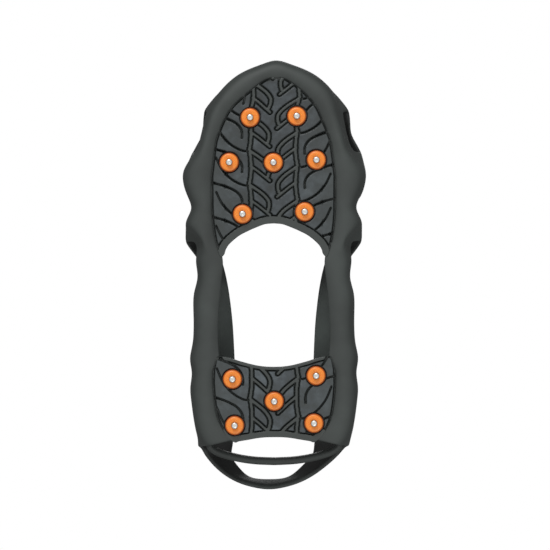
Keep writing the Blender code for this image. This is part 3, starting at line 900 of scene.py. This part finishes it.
def tread_plate(name, plan, repeats, stretch, borders, sizes):
    """Closed plate with blocks and grooves below, between a front and a rear edge."""
    front, rear, half_width = plan
    step = sizes.tread_step
    xs = columns(half_width, round(COLUMN_EXTRA * 2 * half_width / step))
    y_front = np.interp(np.abs(xs), *front)
    y_rear = np.interp(np.abs(xs), *rear)
    borders = [(width, (y_front, y_rear)[end], reach) for width, end, reach in borders]
    rows = round(float((y_rear - y_front).max()) / step)
    share = np.linspace(0, 1, rows)
    grid_x = np.repeat(xs[:, None], rows, axis=1)
    grid_y = y_front[:, None] + (y_rear - y_front)[:, None] * share[None, :]
    flat = np.stack([grid_x.ravel(), grid_y.ravel()], axis=1)

    # every third point of an edge is close enough for distances
    outline = [*zip(xs, y_front), *zip(xs[::-1], y_rear[::-1])]
    outline.append(outline[0])
    edge_gap = segment_distance(flat, outline[::3] + [outline[0]])
    blocks = np.minimum(pattern_distance(flat, CHANNELS, repeats, stretch),
                        edge_gap - SIDE_BORDER)
    slits = pattern_distance(flat, SLITS, repeats, stretch)
    for border, edge, reach in borders:
        # the floor runs on along this edge
        line = [(x, y) for x, y in zip(xs, edge) if abs(x) < reach]
        gap = segment_distance(flat, line[::3]) - border
        blocks = np.minimum(blocks, gap)
        slits = np.maximum(slits, -gap)
    floor = cut(blocks, 0) * sizes.channel_depth
    lines = np.maximum(cut(np.abs(blocks - LINE_OUT), LINE_HALF), cut(slits, 0))
    depth = np.maximum(floor, lines * sizes.groove_depth)
    for spot in STUD_PLACES:
        gap = np.hypot(flat[:, 0] - spot.x, flat[:, 1] + SHIFT - spot.y)
        amount = cut(gap, sizes.pocket_radius)
        depth = np.where(amount > 0, np.maximum(
            depth * (1 - amount), amount * (POCKET_ROOF - TREAD_FACE)), depth)
    edge = np.clip(1 - edge_gap / EDGE_ROUND, 0, 1)
    depth = np.maximum(depth, EDGE_ROUND * (1 - np.sqrt(1 - edge ** 2)))

    count = len(flat)
    verts = np.zeros((count, 3))
    verts[:, 0] = flat[:, 0] + toe_shift(flat[:, 1])
    verts[:, 1] = flat[:, 1] + SHIFT
    verts[:, 2] = TREAD_FACE + depth
    index = np.arange(count).reshape(len(xs), rows)
    ring = np.concatenate([
        index[:, 0], index[-1, 1:], index[-2::-1, -1], index[0, -2:0:-1]])
    top = verts[ring].copy()
    top[:, 2] = SPLIT_Z
    verts = np.concatenate([verts, top]) * MM
    quads = np.stack([index[:-1, :-1], index[:-1, 1:], index[1:, 1:], index[1:, :-1]],
                     axis=-1).reshape(-1, 4)
    upper = count + np.arange(len(ring))
    around = np.roll(np.arange(len(ring)), -1)
    sides = np.stack([ring, ring[around], upper[around], upper], axis=-1)
    faces = [*quads.tolist(), *sides.tolist(), upper.tolist()]
    mesh = bpy.data.meshes.new(name)
    mesh.from_pydata(verts.tolist(), [], faces)
    mesh.shade_smooth()
    mesh.set_sharp_from_angle(angle=math.radians(65))
    return mesh


class CLEAT_OT_tread_plates(bpy.types.Operator):
    """Forefoot and heel tread plates, with blocks, grooves and stud pockets"""

    bl_idname = "cleat.tread_plates"
    bl_label = "Tread plates"

    def execute(self, context):
        patterns = {
            "forefoot": (FOREFOOT_REPEATS, 1.0, [(ARCH_BORDER, 1)]),
            "heel": (HEEL_REPEATS, HEEL_STRETCH, list(zip(HEEL_BORDERS, (0, 1)))),
        }
        for body, (repeats, stretch, borders) in patterns.items():
            borders = [(width, end, BORDER_REACH[body]) for width, end in borders]
            name = f"{body}_tread"
            mesh = tread_plate(name, sole_plan(body), repeats, stretch, borders,
                               context.scene.cleat.sizes)
            plate = add_piece(name, mesh, tread_rubber())
            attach(plate, body)
        return {"FINISHED"}


def bed_mesh(name, outline, studs):
    """Flat foot bed with a round recess over each stud, from a filled 2D curve."""
    curve = bpy.data.curves.new(name, "CURVE")
    curve.dimensions = "2D"
    curve.fill_mode = "BOTH"
    curve.extrude = ((BED_TOP - SPLIT_Z) / 2 - BED_BEVEL) * MM
    curve.bevel_depth = BED_BEVEL * MM
    curve.bevel_resolution = 2
    curve.offset = -BED_BEVEL * MM
    loops = [outline]
    radius = WASHER_R + RECESS_GAP
    for spot in studs:
        loops.append([Vector((spot.x + radius * math.cos(a), spot.y + radius * math.sin(a)))
                      for a in np.linspace(0, math.tau, 48, endpoint=False)])
    for points in loops:
        spline = curve.splines.new("POLY")
        spline.points.add(len(points) - 1)
        for point, co in zip(spline.points, points):
            point.co = (co.x * MM, co.y * MM, 0, 1)
        spline.use_cyclic_u = True
    guide = bpy.data.objects.new(name, curve)
    bpy.context.scene.collection.objects.link(guide)
    bpy.context.view_layer.update()
    ready = guide.evaluated_get(bpy.context.evaluated_depsgraph_get())
    mesh = bpy.data.meshes.new_from_object(ready)
    bpy.data.objects.remove(guide, do_unlink=True)
    bm = bmesh.new()
    bm.from_mesh(mesh)
    bpy.data.meshes.remove(mesh)
    bmesh.ops.remove_doubles(bm, verts=bm.verts, dist=0.01 * MM)
    bmesh.ops.translate(bm, verts=bm.verts, vec=(0, 0, (SPLIT_Z + BED_TOP) / 2 * MM))
    bmesh.ops.recalc_face_normals(bm, faces=bm.faces)
    return mesh_from_bmesh(name, bm, 50)


def full_outline(front, rear, half_width):
    """Closed outline from a front and a rear half curve."""
    xs = columns(half_width, 120)
    ahead = [Vector((x, np.interp(abs(x), *front) + SHIFT)) for x in xs]
    for point in ahead:
        point.x += toe_shift(point.y - SHIFT)
    behind = [Vector((x, np.interp(abs(x), *rear) + SHIFT)) for x in reversed(xs)]
    return [*ahead, *behind]


class CLEAT_OT_foot_beds(bpy.types.Operator):
    """Foot side of the two soles, with a recess over each stud"""

    bl_idname = "cleat.foot_beds"
    bl_label = "Foot beds"

    def execute(self, context):
        studs = {"forefoot": STUD_PLACES[:FOREFOOT_STUDS],
                 "heel": STUD_PLACES[FOREFOOT_STUDS:]}
        for body, places in studs.items():
            name = f"{body}_bed"
            mesh = bed_mesh(name, full_outline(*sole_plan(body)), places)
            bed = add_piece(name, mesh, moulded_rubber())
            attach(bed, body)
            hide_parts(f"{body}_sole")
        return {"FINISHED"}


# ---------------------------------------------------------------- studs


def turned_mesh(name, profile, segments=56):
    """Mesh turned about Z from a closed profile of (radius, height) points."""
    bm = bmesh.new()
    verts = [bm.verts.new((r * MM, 0, z * MM)) for r, z in profile]
    edges = [bm.edges.new(pair) for pair in zip(verts, verts[1:])]
    if profile[0][0] > 0:
        edges.append(bm.edges.new((verts[-1], verts[0])))
    bmesh.ops.spin(bm, geom=[*verts, *edges], cent=(0, 0, 0), axis=(0, 0, 1),
                   angle=math.tau, steps=segments, use_merge=True)
    bmesh.ops.remove_doubles(bm, verts=bm.verts, dist=0.001 * MM)
    bmesh.ops.recalc_face_normals(bm, faces=bm.faces)
    return mesh_from_bmesh(name, bm, 35)


class CLEAT_OT_studs(bpy.types.Operator):
    """Twelve studs: bright steel pin, orange collar and steel backing washer"""

    bl_idname = "cleat.studs"
    bl_label = "Studs"

    def execute(self, context):
        face, back, bed = COLLAR_FACE, COLLAR_BACK, BED_TOP
        bore, neck, flange = 1.9, 3.0, COLLAR_R + 0.3
        head, shank = 3.2, 1.7
        collar = turned_mesh("collar_profile", [
            (bore, RECESS_FLOOR - 0.2), (neck, RECESS_FLOOR - 0.2), (neck, back),
            (flange - 0.15, back), (flange, back - 0.2), (flange, face + 1.4),
            (flange - 0.1, face + 1.2), (COLLAR_R, face + 1.0), (COLLAR_R, face + 0.75),
            (COLLAR_R - 0.25, face + 0.4), (COLLAR_R - 0.6, face + 0.13),
            (COLLAR_R - 0.95, face), (bore + 0.35, face), (bore + 0.12, face + 0.1),
            (bore, face + 0.3),
        ])
        pin = turned_mesh("pin_profile", [
            (0, bed - 0.1), (head - 0.3, bed - 0.12), (head, bed - 0.35),
            (head, bed - 0.6), (shank, bed - 0.7), (shank, face + 1.0),
            (shank + 0.12, face + 0.7), (shank + 0.15, face - 0.05),
            # rounded tip with a small dimple
            (1.8, face - 0.25), (1.68, 0.42), (1.45, 0.14), (1.15, 0.0), (0.42, 0.0),
            (0.3, 0.15), (0, 0.2),
        ])
        washer = turned_mesh("washer_profile", [
            (2.1, WASHER_TOP - 0.1), (2.2, WASHER_TOP), (WASHER_R - 0.15, WASHER_TOP),
            (WASHER_R, WASHER_TOP - 0.15), (WASHER_R, WASHER_LOW + 0.1),
            (WASHER_R - 0.1, WASHER_LOW), (2.1, WASHER_LOW),
        ])
        kinds = [
            ("collar", collar, collar_nylon(), "stud_collar"),
            ("pin", pin, turned_steel(), "stud_steel"),
            ("washer", washer, turned_steel(), "stud_steel"),
        ]
        for number, spot in zip(STUD_NUMBERS, STUD_PLACES):
            body = "forefoot" if number <= FOREFOOT_STUDS else "heel"
            for kind, source, material, slot in kinds:
                piece = add_piece(f"{kind}_{number:02d}", source.copy(), material)
                piece.location = (spot.x * MM, spot.y * MM, 0)
                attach(piece, body)
                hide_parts(f"stud_{kind}_{number:02d}")
        return {"FINISHED"}


# ---------------------------------------------------------------- stage


class CLEAT_OT_stage(bpy.types.Operator):
    """Pale floor, soft lights and the camera that looks up at the sole"""

    bl_idname = "cleat.stage"
    bl_label = "Stage"

    def execute(self, context):
        scene = context.scene
        scene.view_settings.view_transform = "Standard"
        world = bpy.data.worlds.new("pale studio")
        scene.world = world
        world.use_nodes = True
        self.sky(world.node_tree)
        self.floor()
        self.light("key", (-0.25, -1.2, -0.9), 0.6, 13)
        self.light("fill", (0.3, 0.9, -1.2), 0.9, 4)
        self.light("overhead", (0.1, -0.3, 1.6), 0.9, 6)

        # far away and long, so that the sole is seen almost without perspective
        distance = 1600
        field = 313.5
        aim = (0.7, 0.3)
        roll = 0.2
        lens = bpy.data.cameras.new("sole_camera")
        lens.sensor_width = 36
        lens.lens = lens.sensor_width * (distance + TREAD_FACE) / field
        lens.dof.use_dof = False
        lens.clip_end = 10
        camera = bpy.data.objects.new("sole_camera", lens)
        scene.collection.objects.link(camera)
        camera.location = in_frame(*aim, -distance)
        camera.rotation_euler = (math.pi, 0, math.radians(roll))
        scene.camera = camera
        return {"FINISHED"}

    @staticmethod
    def sky(tree):
        """White to look at; as a light it is softer, and weaker from above."""
        tree.nodes.clear()
        white = add_node(tree, "ShaderNodeBackground", {"Color": (1, 1, 1, 1), "Strength": 1})
        way = add_node(tree, "ShaderNodeTexCoord").outputs["Generated"]
        strength = mapped(tree, separated(tree, way)[2], (-0.7, 0.4), (0.72, 0.2))
        soft = add_node(tree, "ShaderNodeBackground", {
            "Color": (1, 1, 1, 1), "Strength": strength})
        seen = add_node(tree, "ShaderNodeLightPath").outputs["Is Camera Ray"]
        both = add_node(tree, "ShaderNodeMixShader", {
            0: seen, 1: soft.outputs["Background"], 2: white.outputs["Background"]})
        add_node(tree, "ShaderNodeOutputWorld", {"Surface": both.outputs["Shader"]})

    def floor(self):
        """Pale floor under the studs, seen from above only, that shades nothing."""
        bm = bmesh.new()
        bmesh.ops.create_grid(bm, x_segments=1, y_segments=1, size=3.0)
        obj = add_piece("floor", mesh_from_bmesh("floor", bm), self.floor_material())
        obj.visible_shadow = False
        obj.visible_diffuse = False
        obj.visible_glossy = False

    @staticmethod
    def floor_material():
        """Matt paint on the upper side, nothing on the lower."""
        material, tree, _ = new_material("pale floor, matt paint")
        paint = add_node(tree, "ShaderNodeBsdfDiffuse", {"Color": (0.78, 0.78, 0.77, 1)})
        clear = add_node(tree, "ShaderNodeBsdfTransparent")
        side = add_node(tree, "ShaderNodeNewGeometry").outputs["Backfacing"]
        both = add_node(tree, "ShaderNodeMixShader", {
            0: side, 1: paint.outputs["BSDF"], 2: clear.outputs["BSDF"]})
        add_node(tree, "ShaderNodeOutputMaterial", {"Surface": both.outputs["Shader"]})
        return material

    @staticmethod
    def light(name, spot, size, power):
        """A round lamp at a spot in metres, turned to the middle of the frame."""
        lamp = bpy.data.lights.new(name, "AREA")
        lamp.shape = "DISK"
        lamp.size = size
        lamp.energy = power
        obj = bpy.data.objects.new(name, lamp)
        bpy.context.scene.collection.objects.link(obj)
        obj.location = spot
        obj.rotation_euler = (-Vector(spot)).to_track_quat("-Z", "Y").to_euler()


# ---------------------------------------------------------------- panel and registration


class CLEAT_PT_panel(bpy.types.Panel):
    """Sizes, colours and the pieces of the cleat"""

    bl_label = "Ice cleat"
    bl_idname = "CLEAT_PT_panel"
    bl_space_type = "VIEW_3D"
    bl_region_type = "UI"
    bl_category = "Ice cleat"

    def draw(self, context):
        settings = context.scene.cleat
        for group in (settings.sizes, settings.colours):
            for name in group.__annotations__:
                self.layout.prop(group, name)
        for operator in OPERATORS:
            self.layout.operator(operator.bl_idname)


OPERATORS = (
    CLEAT_OT_stage,
    CLEAT_OT_rubber_wall,
    CLEAT_OT_heel_band,
    CLEAT_OT_tread_plates,
    CLEAT_OT_foot_beds,
    CLEAT_OT_studs,
)
CLASSES = (CleatSizes, CleatColours, CleatSettings, *OPERATORS, CLEAT_PT_panel)


def register():
    for item in CLASSES:
        bpy.utils.register_class(item)
    bpy.types.Scene.cleat = bpy.props.PointerProperty(type=CleatSettings)


def unregister():
    del bpy.types.Scene.cleat
    for item in reversed(CLASSES):
        bpy.utils.unregister_class(item)


def main():
    register()
    bpy.ops.cleat.stage()
    bpy.ops.cleat.rubber_wall()
    bpy.ops.cleat.heel_band()
    bpy.ops.cleat.tread_plates()
    bpy.ops.cleat.foot_beds()
    bpy.ops.cleat.studs()


if __name__ == "__main__":
    main()
